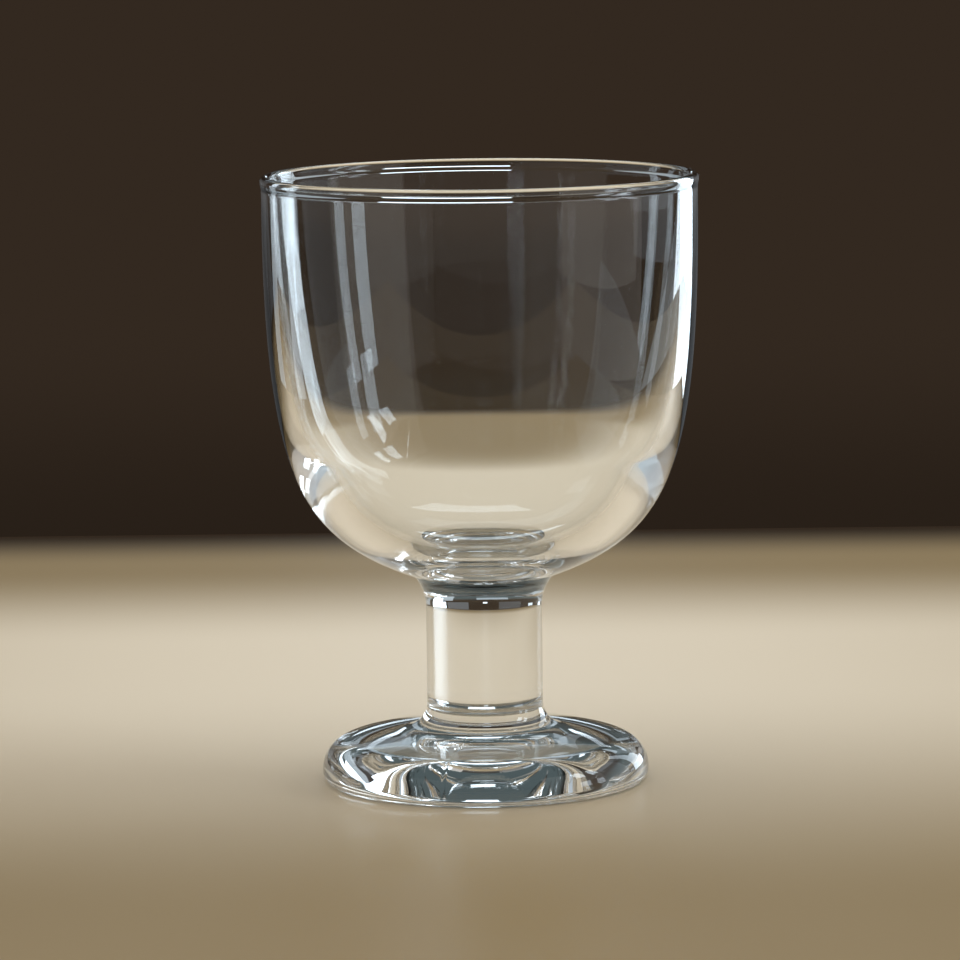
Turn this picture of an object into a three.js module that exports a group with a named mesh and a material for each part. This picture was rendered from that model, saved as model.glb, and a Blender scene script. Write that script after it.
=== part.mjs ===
// Short-stemmed drinking goblet in clear glass: a deep round bowl, a solid stem and a heavy foot.
// The three pieces are fused hot on two flat faces, one under the bowl and one on top of the foot.
// Millimetres, +Z up. The origin lies on the table, under the middle of the foot.

import * as THREE from 'three';

// Heights of the three pieces, stacked along the axis
const FOOT_HEIGHT = 17.6;
const STEM_LENGTH = 28;
const BOWL_HEIGHT = 88;

// Foot: a thick disc with a rounded edge, a sloping top and a collar that runs up into the stem
const FOOT_DIAMETER = 71.8;
const FOOT_WIDEST_HEIGHT = 2.5;
const FOOT_SHOULDER_DIAMETER = 58.8;
const FOOT_SHOULDER_HEIGHT = 9.8;
const FOOT_TOP_SLOPE = THREE.MathUtils.degToRad(7);
const COLLAR_DIAMETER = 40;
const COLLAR_LEAN = THREE.MathUtils.degToRad(9);
const COLLAR_LAND = 0.7;

// Underside of the foot: a flat ring that rests on the table, round a domed hollow
const REST_RING_DIAMETER = 67.4;
const REST_RING_WIDTH = 3;
const HOLLOW_DEPTH = 3.8;

// Stem: a plain cylinder that opens into a trumpet flare below the bowl
const STEM_DIAMETER = 25.5;
const FLARE_DIAMETER = 30.8;
const FLARE_HEIGHT = 7;
const FLARE_STRAIGHT_SHARE = 0.55;

// Bowl: outside diameter of the wall, wall under the rim, and glass over the joint
const BOWL_DIAMETER = 95.1;
const RIM_WALL = 1.7;
const BASE_THICKNESS = 5.4;

// Rim: a fire-polished bead, a little thicker than the wall under it
const RIM_BEAD_DIAMETER = 2.2;
const RIM_STRAIGHT_WALL = 7.8;

// Outside of the bowl: handle lengths as shares of the stretch that the curve spans
const BELLY_SPREAD = 0.75;
const BELLY_RISE = 0.11;
const BELLY_FULLNESS = 0.748;

// Inside of the bowl: the wall leans in down to the heel, where the glass thickens, and rounds into the floor
const HEEL_RADIUS_SHARE = 0.83;
const HEEL_HEIGHT_SHARE = 0.278;
const HEEL_LEAN = THREE.MathUtils.degToRad(26.9);
const WALL_UPRIGHTNESS = 0.391;
const HEEL_RISE = 0.161;
const HEEL_DROP = 0.675;
const FLOOR_FLATNESS = 0.63;

// Fineness of the facets
const SECTORS = 64;
const BOWL_STEPS = 18;
const RIM_STEPS = 10;
const EDGE_STEPS = 7;

const GLASS_COLOUR = 0xeef3f4;
const GLASS_ROUGHNESS = 0.03;

const footRadius = FOOT_DIAMETER / 2;
const stemRadius = STEM_DIAMETER / 2;
const flareRadius = FLARE_DIAMETER / 2;
const bowlRadius = BOWL_DIAMETER / 2;

const stemLevel = FOOT_HEIGHT;
const bowlLevel = stemLevel + STEM_LENGTH;
const rimLevel = bowlLevel + BOWL_HEIGHT;

// Joins the points of several stretches of outline, dropping a point that repeats the one before it
function outline(...stretches) {
  const points = stretches.flat();
  return points.filter((point, i) => i === 0 || point.distanceTo(points[i - 1]) > 1e-6);
}

function at(radius, height) {
  return new THREE.Vector2(radius, height);
}

function curve(steps, start, startHandle, endHandle, end) {
  return new THREE.CubicBezierCurve(start, startHandle, endHandle, end).getPoints(steps);
}

function bend(steps, start, corner, end) {
  return new THREE.QuadraticBezierCurve(start, corner, end).getPoints(steps);
}

function arc(steps, centre, radiusAcross, radiusUp, from, to) {
  const clockwise = to < from;
  return new THREE.EllipseCurve(
    centre.x, centre.y, radiusAcross, radiusUp, from, to, clockwise,
  ).getPoints(steps);
}

// Foot, from the middle of the hollow underneath, round the edge and up to the joint with the stem
function footOutline() {
  const restRadius = REST_RING_DIAMETER / 2;
  const hollowRadius = restRadius - REST_RING_WIDTH;
  const hollow = bend(
    EDGE_STEPS, at(0, HOLLOW_DEPTH), at(hollowRadius / 2, HOLLOW_DEPTH), at(hollowRadius, 0),
  );
  const lowerEdge = arc(
    EDGE_STEPS, at(restRadius, FOOT_WIDEST_HEIGHT), footRadius - restRadius, FOOT_WIDEST_HEIGHT,
    -Math.PI / 2, 0,
  );

  const shoulder = at(FOOT_SHOULDER_DIAMETER / 2, FOOT_SHOULDER_HEIGHT);
  const slope = Math.tan(FOOT_TOP_SLOPE);
  const edgeDepth = footRadius - shoulder.x;
  const shoulderHandle = edgeDepth * 2 / 3;
  const upperEdge = curve(
    EDGE_STEPS,
    at(footRadius, FOOT_WIDEST_HEIGHT),
    at(footRadius, (FOOT_WIDEST_HEIGHT + shoulder.y) / 2),
    at(shoulder.x + shoulderHandle, shoulder.y - shoulderHandle * slope),
    shoulder,
  );

  const collarRadius = COLLAR_DIAMETER / 2;
  const root = at(collarRadius, shoulder.y + (shoulder.x - collarRadius) * slope);
  const landBottom = at(stemRadius, FOOT_HEIGHT - COLLAR_LAND);
  const lean = Math.tan(COLLAR_LEAN);
  const reach = (root.x - landBottom.x - (landBottom.y - root.y) * lean) / (1 - slope * lean);
  const collar = bend(EDGE_STEPS, root, at(root.x - reach, root.y + reach * slope), landBottom);
  const joint = [at(stemRadius, FOOT_HEIGHT), at(0, FOOT_HEIGHT)];
  return outline(hollow, lowerEdge, upperEdge, collar, joint);
}

// Stem, from the joint with the foot up to the joint with the bowl
function stemOutline() {
  const foot = [at(0, stemLevel), at(stemRadius, stemLevel)];
  const flareStart = bowlLevel - FLARE_HEIGHT;
  const flare = bend(
    EDGE_STEPS,
    at(stemRadius, flareStart),
    at(stemRadius, flareStart + FLARE_HEIGHT * FLARE_STRAIGHT_SHARE),
    at(flareRadius, bowlLevel),
  );
  return outline(foot, flare, [at(0, bowlLevel)]);
}

// Bowl, from the joint with the stem up the outside, over the bead and down the inside
function bowlOutline() {
  const beadRadius = RIM_BEAD_DIAMETER / 2;
  const beadCentre = at(bowlRadius - RIM_WALL / 2, rimLevel - beadRadius);
  const beadStart = -Math.acos(RIM_WALL / RIM_BEAD_DIAMETER);
  const bead = arc(RIM_STEPS, beadCentre, beadRadius, beadRadius, beadStart, Math.PI - beadStart);

  const seat = at(flareRadius, bowlLevel);
  const wallLevel = rimLevel - RIM_STRAIGHT_WALL;
  const rise = wallLevel - bowlLevel;
  const outside = curve(
    BOWL_STEPS,
    seat,
    at(seat.x + BELLY_SPREAD * (bowlRadius - seat.x), seat.y + BELLY_RISE * rise),
    at(bowlRadius, wallLevel - BELLY_FULLNESS * rise),
    at(bowlRadius, wallLevel),
  );

  const innerTop = at(bowlRadius - RIM_WALL, bead.at(-1).y);
  const floor = at(0, bowlLevel + BASE_THICKNESS);
  const heel = at(
    HEEL_RADIUS_SHARE * innerTop.x,
    floor.y + HEEL_HEIGHT_SHARE * (innerTop.y - floor.y),
  );
  const lean = at(Math.sin(HEEL_LEAN), Math.cos(HEEL_LEAN));
  const wallDepth = innerTop.y - heel.y;
  const heelDepth = heel.y - floor.y;
  const innerWall = curve(
    BOWL_STEPS,
    innerTop,
    at(innerTop.x, innerTop.y - WALL_UPRIGHTNESS * wallDepth),
    heel.clone().addScaledVector(lean, HEEL_RISE * wallDepth),
    heel,
  );
  const innerFloor = curve(
    BOWL_STEPS,
    heel,
    heel.clone().addScaledVector(lean, -HEEL_DROP * heelDepth),
    at(FLOOR_FLATNESS * heel.x, floor.y),
    floor,
  );
  return outline([at(0, bowlLevel)], outside, bead, innerWall, innerFloor);
}

// Turns an outline round the axis and stands it upright
function turned(name, points) {
  const glass = new THREE.MeshStandardMaterial({
    color: GLASS_COLOUR,
    roughness: GLASS_ROUGHNESS,
    metalness: 0,
  });
  const piece = new THREE.Mesh(new THREE.LatheGeometry(points, SECTORS), glass);
  piece.name = name;
  piece.rotation.x = Math.PI / 2;
  return piece;
}

const goblet = new THREE.Group();
goblet.name = 'goblet';
goblet.add(turned('foot', footOutline()));
goblet.add(turned('stem', stemOutline()));
goblet.add(turned('bowl', bowlOutline()));

export default goblet;
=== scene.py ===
"""Clear glass goblet on a plain studio stage.

The bowl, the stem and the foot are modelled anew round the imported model, as three fused pieces of glass.
"""

import math

import bpy
from mathutils import Matrix, Vector


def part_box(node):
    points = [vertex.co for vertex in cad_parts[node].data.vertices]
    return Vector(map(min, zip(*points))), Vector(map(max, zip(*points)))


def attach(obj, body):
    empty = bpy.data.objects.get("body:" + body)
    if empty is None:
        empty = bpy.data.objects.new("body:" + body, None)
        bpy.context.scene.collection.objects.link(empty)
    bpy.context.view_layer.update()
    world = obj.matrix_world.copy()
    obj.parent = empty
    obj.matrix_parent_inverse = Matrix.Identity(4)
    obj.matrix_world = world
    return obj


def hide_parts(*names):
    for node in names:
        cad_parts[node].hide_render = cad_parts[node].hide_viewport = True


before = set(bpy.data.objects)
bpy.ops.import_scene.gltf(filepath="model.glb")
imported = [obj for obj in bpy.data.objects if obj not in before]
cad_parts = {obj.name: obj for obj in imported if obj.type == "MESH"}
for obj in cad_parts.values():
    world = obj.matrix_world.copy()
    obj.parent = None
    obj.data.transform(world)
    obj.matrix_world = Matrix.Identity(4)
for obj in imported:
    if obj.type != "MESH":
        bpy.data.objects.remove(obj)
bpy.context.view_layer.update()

bl_info = {
    "name": "Clear glass goblet",
    "version": (1, 0, 0),
    "blender": (4, 5, 0),
    "location": "View3D > Sidebar > Goblet",
    "description": "Models a short-stemmed glass goblet in three fused pieces, on a plain stage",
    "category": "Add Mesh",
}

MM = 0.001

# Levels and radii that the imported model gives
FOOT_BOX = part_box("foot")
STEM_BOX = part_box("stem")
BOWL_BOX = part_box("bowl")
FOOT_RADIUS = FOOT_BOX[1][0]
STEM_LEVEL = STEM_BOX[0][2]
BOWL_LEVEL = BOWL_BOX[0][2]
RIM_LEVEL = BOWL_BOX[1][2]
FLARE_RADIUS = STEM_BOX[1][0]
RIM_RADIUS = BOWL_BOX[1][0]

# Share of a quarter arc's radius that its Bezier handles take
ROUND_HANDLE = 0.5523
# Share of a plain bend's legs that its Bezier handles take
BEND_HANDLE = 2 / 3

# Fineness: steps along each stretch of an outline, and steps round the axis
FOOT_CURVE_STEPS = 20
STEM_CURVE_STEPS = 24
BOWL_CURVE_STEPS = 48
PRESSED_HALF_TURN_STEPS = 96
BOWL_TURN_STEPS = 192
SEAM_STEPS = 4
MERGE_DISTANCE = 0.001 * MM
# Edges that turn more sharply than this stay crisp
CRISP_ANGLE = math.radians(35)
# Upward part of the normal below which a point lies on the underside, where no seam is raised
UNDERSIDE = -0.8

# Ripples in the skin of the glass: how close they lie, and how far they are drawn out upwards
BLOWN_RIPPLE = (60.0, 0.15)
PRESSED_RIPPLE = (90.0, 1.0)
RIPPLE_DETAIL = 1.0
RIPPLE_ROUGHNESS = 0.4

# Floor: its reach to the front and to each side, and its soft far edge
FLOOR_FRONT = 0.3
FLOOR_SIDE = 0.35
FLOOR_EDGE = 0.03
# Film of air under the resting ring, so that the glass shows the floor there
FLOOR_GAP = 0.05 * MM
FLOOR_ROUGHNESS = 0.4
FLOOR_SHEEN = 0.2
# Painted shade on the floor: where its colour falls off to the shade colour towards the front, the back and
# each side, in metres, from and to, and how much of its colour rests
FLOOR_FRONT_PAINTED_SHADE = (0.12, -0.14, 0.12)
FLOOR_BACK_PAINTED_SHADE = (0.19, 0.32, 0.12)
FLOOR_SIDE_PAINTED_SHADE = (0.03, 0.45, 0.1)

# Direction upwards over which the backdrop passes into its upper part, and how much of it rests
BACKDROP_FADE = (0.2, 0.34, 0.0)
# Direction downwards over which the backdrop darkens towards its foot, and how much of it rests
BACKDROP_FOOT = (-0.1, -0.14, 0.65)

DAYLIGHT = (0.76, 0.89, 1.0)
NEUTRAL = (1.0, 0.96, 0.9)
SOFTBOX_DISTANCE = 2.0
# Softboxes: name, bearing from the front and spread in degrees, lowest and highest edge in metres,
# radiance and colour
SOFTBOXES = (
    ("softbox right, lower", 140.0, 20.0, -0.45, 0.3, 5.6, DAYLIGHT),
    ("softbox right, middle", 138.0, 16.0, 0.3, 0.75, 3.4, DAYLIGHT),
    ("softbox right, upper", 135.0, 10.0, 0.75, 1.5, 2.6, DAYLIGHT),
    ("panel back right", 151.0, 12.0, 0.45, 1.2, 0.5, DAYLIGHT),
    ("panel back left", -150.0, 10.0, 1.0, 1.5, 0.7, DAYLIGHT),
    ("softbox left", -117.0, 8.0, -0.45, 0.1, 2.4, DAYLIGHT),
    ("softbox back left", -138.5, 7.0, -0.45, 0.1, 1.2, DAYLIGHT),
    ("side panel right", 161.0, 18.0, -0.45, 0.3, 0.13, DAYLIGHT),
    ("side panel left", -161.0, 18.0, -0.45, 0.3, 0.08, DAYLIGHT),
    ("back panel", 177.0, 22.0, 1.2, 1.9, 2.2, DAYLIGHT),
    ("back panel, lower", -174.0, 22.0, 0.55, 0.8, 0.42, DAYLIGHT),
    ("back strip", -179.3, 2.8, 0.2, 0.3, 2.2, DAYLIGHT),
    ("strip front right", 74.0, 9.0, 0.0, 0.4, 5.0, DAYLIGHT),
    ("strip side right", 88.0, 7.0, 0.0, 0.4, 4.0, DAYLIGHT),
    ("strip front right, upper", 74.0, 9.0, 0.85, 1.45, 8.0, DAYLIGHT),
    ("strip side right, upper", 88.0, 7.0, 0.85, 1.45, 8.0, DAYLIGHT),
    ("side fill right", 104.0, 34.0, -0.1, 1.5, 0.5, DAYLIGHT),
    ("side fill left", -97.0, 44.0, 0.1, 1.5, 0.55, DAYLIGHT),
    ("fill right", 68.0, 50.0, -0.45, 1.6, 0.5, NEUTRAL),
    ("fill left", -50.0, 52.0, -0.45, 1.6, 0.2, NEUTRAL),
    ("fill front", 9.5, 66.0, -0.45, 0.2, 0.12, NEUTRAL),
)

# Width of the camera's sensor in millimetres
SENSOR_WIDTH = 36.0
# How often light may pass or be thrown back by the many faces of the glass
GLASS_BOUNCES = 32
GLOSSY_BOUNCES = 16


def length(name, description, default):
    """A size in metres."""
    return bpy.props.FloatProperty(
        name=name, description=description, default=default, min=0.0, unit="LENGTH", precision=5
    )


def share(name, description, default):
    """A plain number without a unit."""
    return bpy.props.FloatProperty(name=name, description=description, default=default, precision=3)


def angle(name, description, degrees):
    """An angle, given here in degrees."""
    return bpy.props.FloatProperty(
        name=name, description=description, default=math.radians(degrees), subtype="ANGLE"
    )


def colour(name, description, default):
    """A linear colour."""
    return bpy.props.FloatVectorProperty(
        name=name, description=description, default=default, size=3, min=0.0, subtype="COLOR"
    )


class GobletBowlSizes(bpy.types.PropertyGroup):
    """Sizes of the bowl and its rim."""

    rim_wall: length("Rim wall", "Glass thickness just under the rim bead", 1.7 * MM)
    bead: length("Rim bead", "Diameter of the fire-polished bead round the rim", 2.2 * MM)
    straight: length("Straight wall", "Height of the upright wall under the rim", 7.8 * MM)
    base: length("Base", "Glass over the joint, in the middle of the floor", 5.4 * MM)
    spread: share("Belly spread", "How far the outside runs out flat from the joint", 0.75)
    rise: share("Belly rise", "How much the outside rises along that run", 0.11)
    fullness: share("Belly fullness", "How far the upright wall reaches down the outside", 0.748)
    heel_radius: share("Heel radius", "Where the wall passes into the heel, as a share of its radius", 0.83)
    heel_height: share("Heel height", "Height of that place, as a share of the inside depth", 0.278)
    heel_lean: angle("Heel lean", "How far the inside leans out there", 26.9)
    upright: share("Upright reach", "How far the upright wall reaches down from the rim", 0.391)
    heel_up: share("Heel rise", "How far the heel's lean reaches up the wall", 0.161)
    heel_down: share("Heel drop", "How far the heel's lean reaches down to the floor", 0.675)
    floor: share("Floor flatness", "How far the floor runs out flat inside", 0.63)


class GobletStemSizes(bpy.types.PropertyGroup):
    """Sizes of the stem."""

    diameter: length("Stem diameter", "Diameter of the plain part of the stem", 25.5 * MM)
    flare: length("Flare height", "Height of the trumpet flare under the bowl", 7.0 * MM)
    straight: share("Flare straightness", "Share of the flare's height that stays upright", 0.55)


class GobletFootSizes(bpy.types.PropertyGroup):
    """Sizes of the foot."""

    widest: length("Widest height", "Height of the widest line of the edge", 2.5 * MM)
    shoulder_radius: length("Shoulder radius", "Where the edge passes into the sloping top", 29.4 * MM)
    shoulder: length("Shoulder height", "Height of the shoulder over the table", 9.8 * MM)
    slope: angle("Top slope", "Slope of the top", 7.0)
    collar_radius: length("Collar radius", "Where the collar sweeps up out of the top", 20.0 * MM)
    lean: angle("Collar lean", "How far the collar leans in where it ends", 9.0)
    land: length("Collar land", "Upright land under the joint with the stem", 0.7 * MM)
    rest_radius: length("Resting ring radius", "Outer radius of the ring on the table", 33.7 * MM)
    rest_width: length("Resting ring width", "Width of that ring", 3.0 * MM)
    hollow: length("Hollow depth", "Depth of the hollow under the foot", 3.8 * MM)


class GobletGlass(bpy.types.PropertyGroup):
    """The glass and the marks that its making leaves."""

    tint: colour("Tint", "Colour that the glass gives to light passing through", (0.985, 0.994, 0.992))
    ior: share("Index of refraction", "Soda-lime glass", 1.52)
    ripple_blown: length("Ripple of the bowl", "Height of the ripples left by blowing", 0.02 * MM)
    ripple_pressed: length("Ripple of the pressings", "Height of the ripples left by the mould", 0.012 * MM)
    seam_bearing: angle("Seam bearing", "Turn of the mould seams from the front", -15.0)
    seam_width: angle("Seam width", "Turn that a mould seam takes up", 2.4)
    seam_height: length("Seam height", "How far a mould seam stands proud", 0.05 * MM)


class GobletStage(bpy.types.PropertyGroup):
    """Floor, backdrop, lamps and camera."""

    floor_colour: colour("Floor", "Colour of the floor", (0.745, 0.655, 0.515))
    # Painted shade: the colour painted into the floor where the light would fall off towards its edges
    floor_painted_shade: colour("Floor in the shade", "Colour where the light falls off", (0.23, 0.15, 0.05))
    backdrop: colour("Backdrop", "Colour behind the floor", (0.033, 0.022, 0.0145))
    upper: colour("Upper backdrop", "Colour that the glass sees over the backdrop", (0.075, 0.1, 0.105))
    floor_back: length("Floor depth", "How far the floor runs on behind the goblet", 0.36)
    ambient: share("Level light", "Strength of the soft light from the sides", 0.35)
    overhead: share("Overhead light", "Strength of the soft light from above", 1.16)
    distance: length("Camera distance", "From the goblet's axis, along the floor", 1.15)
    height: length("Camera height", "Over the floor", 0.21725)
    sideways: length("Camera offset", "How far the camera stands to the left", 0.57 * MM)
    pitch: angle("Camera pitch", "How far the camera looks down", 7.474)
    roll: angle("Camera roll", "Turn of the camera about its own axis", 0.65)
    lens: share("Lens", "Focal length in millimetres", 198.65)


class Outline:
    """Half section of a piece, drawn knot by knot in radius and height."""

    def __init__(self, radius, height):
        self.knots = []
        self.line(radius, height)

    @property
    def end(self):
        """The radius and height that the outline has come to."""
        place = self.knots[-1]["co"]
        return Vector((place.x, place.z))

    def line(self, radius, height):
        """A straight stretch to the next knot."""
        self.knots.append({"co": Vector((radius, 0, height)), "left": None, "right": None})

    def curve(self, start_handle, end_handle, end):
        """A Bezier stretch, with its handles given as points."""
        self.knots[-1]["right"] = Vector((start_handle[0], 0, start_handle[1]))
        self.line(*end)
        self.knots[-1]["left"] = Vector((end_handle[0], 0, end_handle[1]))

    def rounded(self, corner, end, handle):
        """A stretch inside a corner, with handles that reach a share of the way to it."""
        corner, end = Vector(corner), Vector(end)
        self.curve(self.end.lerp(corner, handle), end.lerp(corner, handle), end)

    def bend(self, corner, end):
        """A stretch that rounds a corner, running along both of its legs."""
        self.rounded(corner, end, BEND_HANDLE)

    def quarter(self, corner, end):
        """A quarter of an ellipse inside a square corner."""
        self.rounded(corner, end, ROUND_HANDLE)


def foot_outline(foot, stem):
    """The foot's half section, from the middle of its hollow round the edge to the joint with the stem."""
    hollow_radius = foot.rest_radius - foot.rest_width
    outline = Outline(0, foot.hollow)
    outline.bend((hollow_radius / 2, foot.hollow), (hollow_radius, 0))
    outline.line(foot.rest_radius, 0)
    outline.quarter((FOOT_RADIUS, 0), (FOOT_RADIUS, foot.widest))
    slope = math.tan(foot.slope)
    handle = (FOOT_RADIUS - foot.shoulder_radius) * BEND_HANDLE
    outline.curve(
        (FOOT_RADIUS, (foot.widest + foot.shoulder) / 2),
        (foot.shoulder_radius + handle, foot.shoulder - handle * slope),
        (foot.shoulder_radius, foot.shoulder),
    )
    collar_level = foot.shoulder + (foot.shoulder_radius - foot.collar_radius) * slope
    outline.line(foot.collar_radius, collar_level)
    stem_radius = stem.diameter / 2
    land_level = STEM_LEVEL - foot.land
    lean = math.tan(foot.lean)
    across = foot.collar_radius - stem_radius
    reach = (across - (land_level - collar_level) * lean) / (1 - slope * lean)
    outline.bend((foot.collar_radius - reach, collar_level + reach * slope), (stem_radius, land_level))
    outline.line(stem_radius, STEM_LEVEL)
    outline.line(0, STEM_LEVEL)
    return outline


def stem_outline(stem):
    """The stem's half section, from the joint with the foot to the joint with the bowl."""
    radius = stem.diameter / 2
    flare_start = BOWL_LEVEL - stem.flare
    outline = Outline(0, STEM_LEVEL)
    outline.line(radius, STEM_LEVEL)
    outline.line(radius, flare_start)
    outline.bend((radius, flare_start + stem.flare * stem.straight), (FLARE_RADIUS, BOWL_LEVEL))
    outline.line(0, BOWL_LEVEL)
    return outline


def bowl_outline(bowl):
    """The bowl's half section, from the joint up the outside, over the bead and down the inside."""
    bead = bowl.bead / 2
    bead_middle = RIM_RADIUS - bead
    wall_radius = bead_middle + bowl.rim_wall / 2
    wall_level = RIM_LEVEL - bowl.straight
    rise = wall_level - BOWL_LEVEL
    outline = Outline(0, BOWL_LEVEL)
    outline.line(FLARE_RADIUS, BOWL_LEVEL)
    outline.curve(
        (FLARE_RADIUS + bowl.spread * (wall_radius - FLARE_RADIUS), BOWL_LEVEL + bowl.rise * rise),
        (wall_radius, wall_level - bowl.fullness * rise),
        (wall_radius, wall_level),
    )
    bead_level = RIM_LEVEL - bead
    neck_level = bead_level - 2 * bead
    outline.line(wall_radius, neck_level)
    outline.curve(
        (wall_radius, neck_level + bead), (RIM_RADIUS, bead_level - bead), (RIM_RADIUS, bead_level)
    )
    outline.quarter((RIM_RADIUS, RIM_LEVEL), (bead_middle, RIM_LEVEL))
    inner_bead = bead_middle - bead
    outline.quarter((inner_bead, RIM_LEVEL), (inner_bead, bead_level))
    inner_radius = wall_radius - bowl.rim_wall
    outline.curve(
        (inner_bead, bead_level - bead), (inner_radius, neck_level + bead), (inner_radius, neck_level)
    )
    floor_level = BOWL_LEVEL + bowl.base
    top_level = bead_level - bead * math.sqrt(1 - (bowl.rim_wall / bowl.bead) ** 2)
    heel_level = floor_level + bowl.heel_height * (top_level - floor_level)
    heel = Vector((bowl.heel_radius * inner_radius, heel_level))
    lean = Vector((math.sin(bowl.heel_lean), math.cos(bowl.heel_lean)))
    wall_depth = top_level - heel_level
    outline.curve(
        (inner_radius, top_level - bowl.upright * wall_depth), heel + lean * bowl.heel_up * wall_depth, heel
    )
    outline.curve(
        heel - lean * bowl.heel_down * (heel_level - floor_level),
        (bowl.floor * heel.x, floor_level),
        (0, floor_level),
    )
    return outline


def draw(name, outline, steps):
    """Draws a half section as a Bezier curve and makes it a chain of edges."""
    bpy.ops.object.select_all(action="DESELECT")
    bpy.ops.curve.primitive_bezier_curve_add(location=(0, 0, 0))
    chain = bpy.context.object
    chain.name = name
    chain.data.resolution_u = steps
    spline = chain.data.splines[0]
    spline.bezier_points.add(len(outline.knots) - len(spline.bezier_points))
    for point, knot in zip(spline.bezier_points, outline.knots):
        point.co = knot["co"]
        point.handle_left_type = "FREE" if knot["left"] else "VECTOR"
        point.handle_right_type = "FREE" if knot["right"] else "VECTOR"
        if knot["left"]:
            point.handle_left = knot["left"]
        if knot["right"]:
            point.handle_right = knot["right"]
    bpy.ops.object.convert(target="MESH")
    bpy.context.object.data.name = name
    return bpy.context.object


def turn(stretches):
    """Spins the half section just drawn round the axis, in stretches of (angle, steps), and closes it."""
    bpy.ops.object.mode_set(mode="EDIT")
    bpy.ops.mesh.select_all(action="SELECT")
    for stretch, steps in stretches:
        bpy.ops.mesh.spin(steps=steps, angle=-stretch, center=(0, 0, 0), axis=(0, 0, 1))
    bpy.ops.mesh.select_all(action="SELECT")
    bpy.ops.mesh.remove_doubles(threshold=MERGE_DISTANCE)
    bpy.ops.mesh.normals_make_consistent(inside=False)
    bpy.ops.object.mode_set(mode="OBJECT")


def seam_stretches(width):
    """Two narrow stretches for the mould seams, with half a turn of plain wall after each."""
    return [(width, SEAM_STEPS), (math.pi - width, PRESSED_HALF_TURN_STEPS)] * 2


def pick(piece, mode, wanted):
    """Selects, in edit mode, the vertices or the faces of a piece that pass a test."""
    bpy.ops.object.mode_set(mode="EDIT")
    bpy.ops.mesh.select_mode(type=mode)
    bpy.ops.mesh.select_all(action="DESELECT")
    bpy.ops.object.mode_set(mode="OBJECT")
    for element in piece.data.vertices if mode == "VERT" else piece.data.polygons:
        element.select = wanted(element)
    bpy.ops.object.mode_set(mode="EDIT")


def off_joint(height, levels):
    """How far a height lies from the nearest joint."""
    return min(abs(height - level) for level in levels)


def raise_seams(piece, glass, low, levels):
    """Lifts the middle line of each mould seam proud of the surface, above a height and off the joints."""
    half = glass.seam_width / 2

    def on_seam(vertex):
        x, y, z = vertex.co
        bearing = math.atan2(y, x) % math.pi
        aside = min(abs(bearing - half), abs(bearing - half - math.pi))
        clear = off_joint(z, levels) > MERGE_DISTANCE
        return aside < half / SEAM_STEPS and z > low and clear and vertex.normal.z > UNDERSIDE

    pick(piece, "VERT", on_seam)
    bpy.ops.transform.shrink_fatten(value=glass.seam_height)
    bpy.ops.object.mode_set(mode="OBJECT")


def set_bearing(piece, glass):
    """Turns a pressing so that its seams lie where the mould left them, and applies the turn."""
    front = -math.pi / 2
    piece.rotation_euler.z = front + glass.seam_bearing - glass.seam_width / 2
    bpy.ops.object.transform_apply(location=False, rotation=True, scale=False)


def dress(piece, glass, weld, levels):
    """Gives a piece its glass, its clear joint faces and smooth shading with crisp joint rims."""
    piece.data.materials.clear()
    piece.data.materials.append(glass)
    piece.data.materials.append(weld)
    pick(piece, "FACE", lambda face: off_joint(face.center.z, levels) < MERGE_DISTANCE)
    piece.active_material_index = 1
    bpy.ops.object.material_slot_assign()
    bpy.ops.mesh.select_all(action="DESELECT")
    bpy.ops.object.mode_set(mode="OBJECT")
    bpy.ops.object.shade_smooth_by_angle(angle=CRISP_ANGLE)


def hand_in(piece, node):
    """Puts a finished piece in the place of its CAD node."""
    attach(piece, "root")
    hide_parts(node)


def ripple_group():
    """Node group that gives the height of the soft ripples in the skin of the glass."""
    name = "Melt ripple"
    if name in bpy.data.node_groups:
        return bpy.data.node_groups[name]
    group = bpy.data.node_groups.new(name, "ShaderNodeTree")
    group.interface.new_socket("Size", in_out="INPUT", socket_type="NodeSocketFloat")
    group.interface.new_socket("Draw", in_out="INPUT", socket_type="NodeSocketFloat")
    group.interface.new_socket("Height", in_out="OUTPUT", socket_type="NodeSocketFloat")
    nodes, links = group.nodes, group.links
    inputs = nodes.new("NodeGroupInput")
    outputs = nodes.new("NodeGroupOutput")
    place = nodes.new("ShaderNodeTexCoord")
    drawn = nodes.new("ShaderNodeCombineXYZ")
    drawn.inputs["X"].default_value = 1.0
    drawn.inputs["Y"].default_value = 1.0
    stretch = nodes.new("ShaderNodeVectorMath")
    stretch.operation = "MULTIPLY"
    noise = nodes.new("ShaderNodeTexNoise")
    noise.inputs["Detail"].default_value = RIPPLE_DETAIL
    noise.inputs["Roughness"].default_value = RIPPLE_ROUGHNESS
    links.new(inputs.outputs["Draw"], drawn.inputs["Z"])
    links.new(place.outputs["Object"], stretch.inputs[0])
    links.new(drawn.outputs["Vector"], stretch.inputs[1])
    links.new(stretch.outputs["Vector"], noise.inputs["Vector"])
    links.new(inputs.outputs["Size"], noise.inputs["Scale"])
    links.new(noise.outputs["Fac"], outputs.inputs["Height"])
    return group


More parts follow.
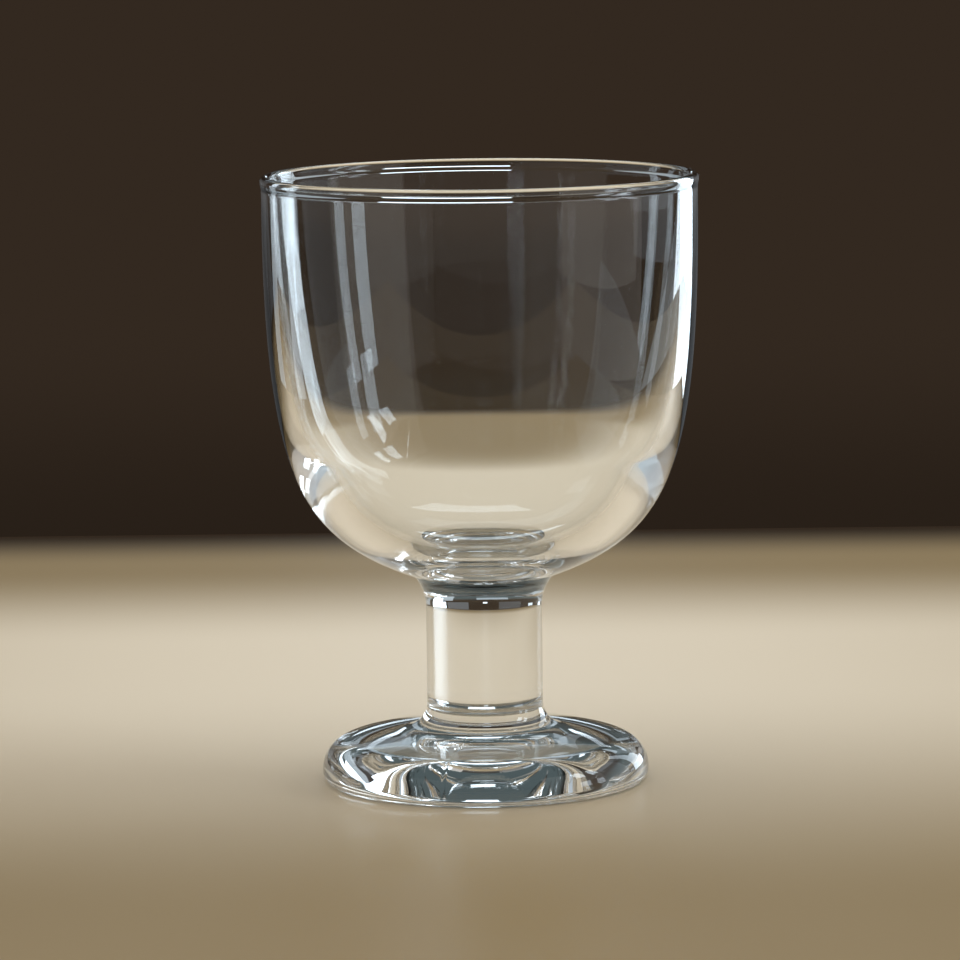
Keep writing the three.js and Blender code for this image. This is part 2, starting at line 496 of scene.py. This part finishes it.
def glass_material(name, settings, ripple, size, draw_out):
    """Clear glass with soft ripples: how high they are, how close, and how far drawn out upwards."""
    if name in bpy.data.materials:
        return bpy.data.materials[name]
    material = bpy.data.materials.new(name)
    material.use_nodes = True
    nodes, links = material.node_tree.nodes, material.node_tree.links
    shader = nodes["Principled BSDF"]
    shader.inputs["Base Color"].default_value = (*settings.tint, 1.0)
    shader.inputs["Roughness"].default_value = 0.0
    shader.inputs["IOR"].default_value = settings.ior
    shader.inputs["Transmission Weight"].default_value = 1.0
    group = nodes.new("ShaderNodeGroup")
    group.node_tree = ripple_group()
    group.inputs["Size"].default_value = size
    group.inputs["Draw"].default_value = draw_out
    bump = nodes.new("ShaderNodeBump")
    bump.inputs["Strength"].default_value = 1.0
    bump.inputs["Distance"].default_value = ripple
    links.new(group.outputs["Height"], bump.inputs["Height"])
    links.new(bump.outputs["Normal"], shader.inputs["Normal"])
    return material


def blown_glass(settings):
    """Glass of the bowl, with ripples drawn out upwards."""
    return glass_material("Blown glass", settings, settings.ripple_blown, *BLOWN_RIPPLE)


def pressed_glass(settings):
    """Glass of the stem and the foot, with ripples alike in every direction."""
    return glass_material("Pressed glass", settings, settings.ripple_pressed, *PRESSED_RIPPLE)


def weld_material():
    """The faces of a fused joint, where the glass runs on and nothing shows."""
    name = "Fused joint"
    if name in bpy.data.materials:
        return bpy.data.materials[name]
    material = bpy.data.materials.new(name)
    material.use_nodes = True
    nodes, links = material.node_tree.nodes, material.node_tree.links
    nodes.remove(nodes["Principled BSDF"])
    clear = nodes.new("ShaderNodeBsdfTransparent")
    links.new(clear.outputs["BSDF"], nodes["Material Output"].inputs["Surface"])
    return material


class MESH_OT_goblet_foot(bpy.types.Operator):
    """Models the pressed foot with its collar, hollow and mould seams"""

    bl_idname = "mesh.goblet_foot"
    bl_label = "Foot"

    def execute(self, context):
        scene = context.scene
        glass = scene.goblet_glass
        foot = draw("goblet_foot", foot_outline(scene.goblet_foot, scene.goblet_stem), FOOT_CURVE_STEPS)
        turn(seam_stretches(glass.seam_width))
        raise_seams(foot, glass, scene.goblet_foot.widest / 2, [STEM_LEVEL])
        set_bearing(foot, glass)
        dress(foot, pressed_glass(glass), weld_material(), [STEM_LEVEL])
        hand_in(foot, "foot")
        return {"FINISHED"}


class MESH_OT_goblet_stem(bpy.types.Operator):
    """Models the solid stem with its flare and mould seams"""

    bl_idname = "mesh.goblet_stem"
    bl_label = "Stem"

    def execute(self, context):
        scene = context.scene
        glass = scene.goblet_glass
        stem = draw("goblet_stem", stem_outline(scene.goblet_stem), STEM_CURVE_STEPS)
        turn(seam_stretches(glass.seam_width))
        raise_seams(stem, glass, STEM_LEVEL, [STEM_LEVEL, BOWL_LEVEL])
        set_bearing(stem, glass)
        dress(stem, pressed_glass(glass), weld_material(), [STEM_LEVEL, BOWL_LEVEL])
        hand_in(stem, "stem")
        return {"FINISHED"}


class MESH_OT_goblet_bowl(bpy.types.Operator):
    """Models the blown bowl with its beaded rim and thick floor"""

    bl_idname = "mesh.goblet_bowl"
    bl_label = "Bowl"

    def execute(self, context):
        scene = context.scene
        glass = scene.goblet_glass
        bowl = draw("goblet_bowl", bowl_outline(scene.goblet_bowl), BOWL_CURVE_STEPS)
        turn([(2 * math.pi, BOWL_TURN_STEPS)])
        dress(bowl, blown_glass(glass), weld_material(), [BOWL_LEVEL])
        hand_in(bowl, "bowl")
        return {"FINISHED"}


def fade_out(nodes, links, value, start, end, rest):
    """Falls softly from one to what rests of it, along a coordinate."""
    fade = nodes.new("ShaderNodeMapRange")
    fade.interpolation_type = "SMOOTHSTEP"
    fade.inputs["From Min"].default_value = start
    fade.inputs["From Max"].default_value = end
    fade.inputs["To Min"].default_value = 1.0
    fade.inputs["To Max"].default_value = rest
    links.new(value, fade.inputs["Value"])
    return fade.outputs["Result"]


def math_node(nodes, links, operation, first, second):
    """Joins two values by an operation; the second may be a plain number."""
    node = nodes.new("ShaderNodeMath")
    node.operation = operation
    links.new(first, node.inputs[0])
    if isinstance(second, bpy.types.NodeSocket):
        links.new(second, node.inputs[1])
    else:
        node.inputs[1].default_value = second
    return node.outputs["Value"]


def mixed_colour(nodes, links, value, zero, one):
    """A colour between two others, by a value from zero to one; the second may come from another node."""
    mix = nodes.new("ShaderNodeMix")
    mix.data_type = "RGBA"
    mix.inputs["A"].default_value = (*zero, 1.0)
    if isinstance(one, bpy.types.NodeSocket):
        links.new(one, mix.inputs["B"])
    else:
        mix.inputs["B"].default_value = (*one, 1.0)
    links.new(value, mix.inputs["Factor"])
    return mix.outputs["Result"]


def floor_material(stage):
    """Pale floor with painted shade: its colour falls off to a shade colour all round, and into the
    backdrop's colour at its far edge.
    """
    material = bpy.data.materials.new("Floor")
    material.use_nodes = True
    nodes, links = material.node_tree.nodes, material.node_tree.links
    shader = nodes["Principled BSDF"]
    shader.inputs["Roughness"].default_value = FLOOR_ROUGHNESS
    place = nodes.new("ShaderNodeTexCoord")
    apart = nodes.new("ShaderNodeSeparateXYZ")
    aside = nodes.new("ShaderNodeMath")
    aside.operation = "ABSOLUTE"
    links.new(place.outputs["Object"], apart.inputs["Vector"])
    links.new(apart.outputs["X"], aside.inputs[0])
    along = apart.outputs["Y"]
    # Painted shade: the floor's colour is darkened towards the front, the back and the sides, where the
    # light would fall off
    painted_light_share = fade_out(nodes, links, aside.outputs["Value"], *FLOOR_SIDE_PAINTED_SHADE)
    for ends in (FLOOR_FRONT_PAINTED_SHADE, FLOOR_BACK_PAINTED_SHADE):
        painted_light_share = math_node(nodes, links, "MULTIPLY", painted_light_share, fade_out(nodes, links, along, *ends))
    # The floor's colour with its painted shade mixed in
    tone = mixed_colour(nodes, links, painted_light_share, stage.floor_painted_shade, stage.floor_colour)
    near = fade_out(nodes, links, along, stage.floor_back - FLOOR_EDGE, stage.floor_back + FLOOR_EDGE, 0.0)
    sheen = math_node(nodes, links, "MULTIPLY", near, FLOOR_SHEEN)
    links.new(mixed_colour(nodes, links, near, stage.backdrop, tone), shader.inputs["Base Color"])
    links.new(sheen, shader.inputs["Specular IOR Level"])
    return material


def build_floor(stage):
    """A flat floor under the goblet, with its far edge behind it."""
    bpy.ops.object.select_all(action="DESELECT")
    depth = FLOOR_FRONT + stage.floor_back + FLOOR_EDGE
    bpy.ops.mesh.primitive_plane_add(size=1.0)
    floor = bpy.context.object
    floor.name = "floor"
    floor.scale = (2 * FLOOR_SIDE, depth, 1.0)
    floor.location = (0, stage.floor_back + FLOOR_EDGE - depth / 2, -FLOOR_GAP)
    bpy.ops.object.transform_apply(location=True, rotation=True, scale=True)
    floor.data.materials.append(floor_material(stage))


def straight_view(nodes, links):
    """One for what the eye sees, straight or through the glass, and zero for light on a matt surface."""
    path = nodes.new("ShaderNodeLightPath")
    seen = path.outputs["Is Camera Ray"]
    for kind in ("Is Glossy Ray", "Is Transmission Ray"):
        seen = math_node(nodes, links, "MAXIMUM", seen, path.outputs[kind])
    unscattered = fade_out(nodes, links, path.outputs["Diffuse Depth"], 0, 1, 0)
    return math_node(nodes, links, "MULTIPLY", seen, unscattered)


def build_world(stage):
    """Soft light from all round, and a plain dark backdrop for what the eye and the glass see."""
    world = bpy.data.worlds.new("Studio")
    bpy.context.scene.world = world
    world.use_nodes = True
    nodes, links = world.node_tree.nodes, world.node_tree.links
    light = nodes["Background"]
    light.inputs["Color"].default_value = (*NEUTRAL, 1.0)
    seen = nodes.new("ShaderNodeBackground")
    place = nodes.new("ShaderNodeTexCoord")
    apart = nodes.new("ShaderNodeSeparateXYZ")
    links.new(place.outputs["Generated"], apart.inputs["Vector"])
    upwards = apart.outputs["Z"]
    level = nodes.new("ShaderNodeMapRange")
    level.interpolation_type = "SMOOTHSTEP"
    level.inputs["To Min"].default_value = stage.ambient
    level.inputs["To Max"].default_value = stage.overhead
    links.new(upwards, level.inputs["Value"])
    links.new(level.outputs["Result"], light.inputs["Strength"])
    lower = fade_out(nodes, links, upwards, *BACKDROP_FADE)
    links.new(mixed_colour(nodes, links, lower, stage.upper, stage.backdrop), seen.inputs["Color"])
    links.new(fade_out(nodes, links, upwards, *BACKDROP_FOOT), seen.inputs["Strength"])
    mix = nodes.new("ShaderNodeMixShader")
    links.new(straight_view(nodes, links), mix.inputs["Fac"])
    links.new(light.outputs["Background"], mix.inputs[1])
    links.new(seen.outputs["Background"], mix.inputs[2])
    links.new(mix.outputs["Shader"], nodes["World Output"].inputs["Surface"])


def build_lamps():
    """The softboxes, in a ring round the goblet and turned towards it."""
    for name, bearing, spread, low, high, radiance, tone in SOFTBOXES:
        turned = math.radians(bearing)
        place = Vector((math.sin(turned), -math.cos(turned), 0)) * SOFTBOX_DISTANCE
        place.z = (low + high) / 2
        bpy.ops.object.light_add(type="AREA", location=place, rotation=(math.pi / 2, 0, turned))
        lamp = bpy.context.object
        lamp.name = name
        lamp.data.shape = "RECTANGLE"
        lamp.data.size = 2 * SOFTBOX_DISTANCE * math.tan(math.radians(spread / 2))
        lamp.data.size_y = high - low
        lamp.data.energy = math.pi * lamp.data.size * lamp.data.size_y * radiance
        lamp.data.color = tone
        lamp.visible_camera = False


def build_camera(stage):
    """The camera, at the photograph's viewing angle."""
    bpy.ops.object.camera_add(location=(-stage.sideways, -stage.distance, stage.height))
    camera = bpy.context.object
    level = Matrix.Rotation(math.pi / 2 - stage.pitch, 3, "X")
    camera.rotation_euler = (level @ Matrix.Rotation(-stage.roll, 3, "Z")).to_euler()
    camera.data.sensor_width = SENSOR_WIDTH
    camera.data.lens = stage.lens
    bpy.context.scene.camera = camera


class SCENE_OT_goblet_stage(bpy.types.Operator):
    """Sets up the floor, the backdrop, the soft lamps and the camera"""

    bl_idname = "scene.goblet_stage"
    bl_label = "Stage"

    def execute(self, context):
        stage = context.scene.goblet_stage
        build_floor(stage)
        build_world(stage)
        build_lamps()
        build_camera(stage)
        cycles = context.scene.cycles
        cycles.max_bounces = GLASS_BOUNCES
        cycles.transmission_bounces = GLASS_BOUNCES
        cycles.transparent_max_bounces = GLASS_BOUNCES
        cycles.glossy_bounces = GLOSSY_BOUNCES
        context.scene.view_settings.view_transform = "Standard"
        return {"FINISHED"}


class VIEW3D_PT_goblet(bpy.types.Panel):
    """Lists the goblet's pieces and their sizes"""

    bl_label = "Goblet"
    bl_space_type = "VIEW_3D"
    bl_region_type = "UI"
    bl_category = "Goblet"

    def draw(self, context):
        for operator, settings in (
            ("mesh.goblet_foot", context.scene.goblet_foot),
            ("mesh.goblet_stem", context.scene.goblet_stem),
            ("mesh.goblet_bowl", context.scene.goblet_bowl),
            (None, context.scene.goblet_glass),
            ("scene.goblet_stage", context.scene.goblet_stage),
        ):
            box = self.layout.box()
            if operator:
                box.operator(operator)
            for name in settings.__annotations__:
                box.prop(settings, name)


SETTINGS = {
    "goblet_bowl": GobletBowlSizes,
    "goblet_stem": GobletStemSizes,
    "goblet_foot": GobletFootSizes,
    "goblet_glass": GobletGlass,
    "goblet_stage": GobletStage,
}
CLASSES = (
    *SETTINGS.values(),
    MESH_OT_goblet_foot,
    MESH_OT_goblet_stem,
    MESH_OT_goblet_bowl,
    SCENE_OT_goblet_stage,
    VIEW3D_PT_goblet,
)


def register():
    """Registers the classes and gives the scene its settings."""
    for cls in CLASSES:
        bpy.utils.register_class(cls)
    for name, cls in SETTINGS.items():
        setattr(bpy.types.Scene, name, bpy.props.PointerProperty(type=cls))


def unregister():
    """Takes the settings and the classes away again."""
    for name in SETTINGS:
        delattr(bpy.types.Scene, name)
    for cls in reversed(CLASSES):
        bpy.utils.unregister_class(cls)


def main():
    """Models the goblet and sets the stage."""
    register()
    bpy.ops.mesh.goblet_foot()
    bpy.ops.mesh.goblet_stem()
    bpy.ops.mesh.goblet_bowl()
    bpy.ops.scene.goblet_stage()


if __name__ == "__main__":
    main()
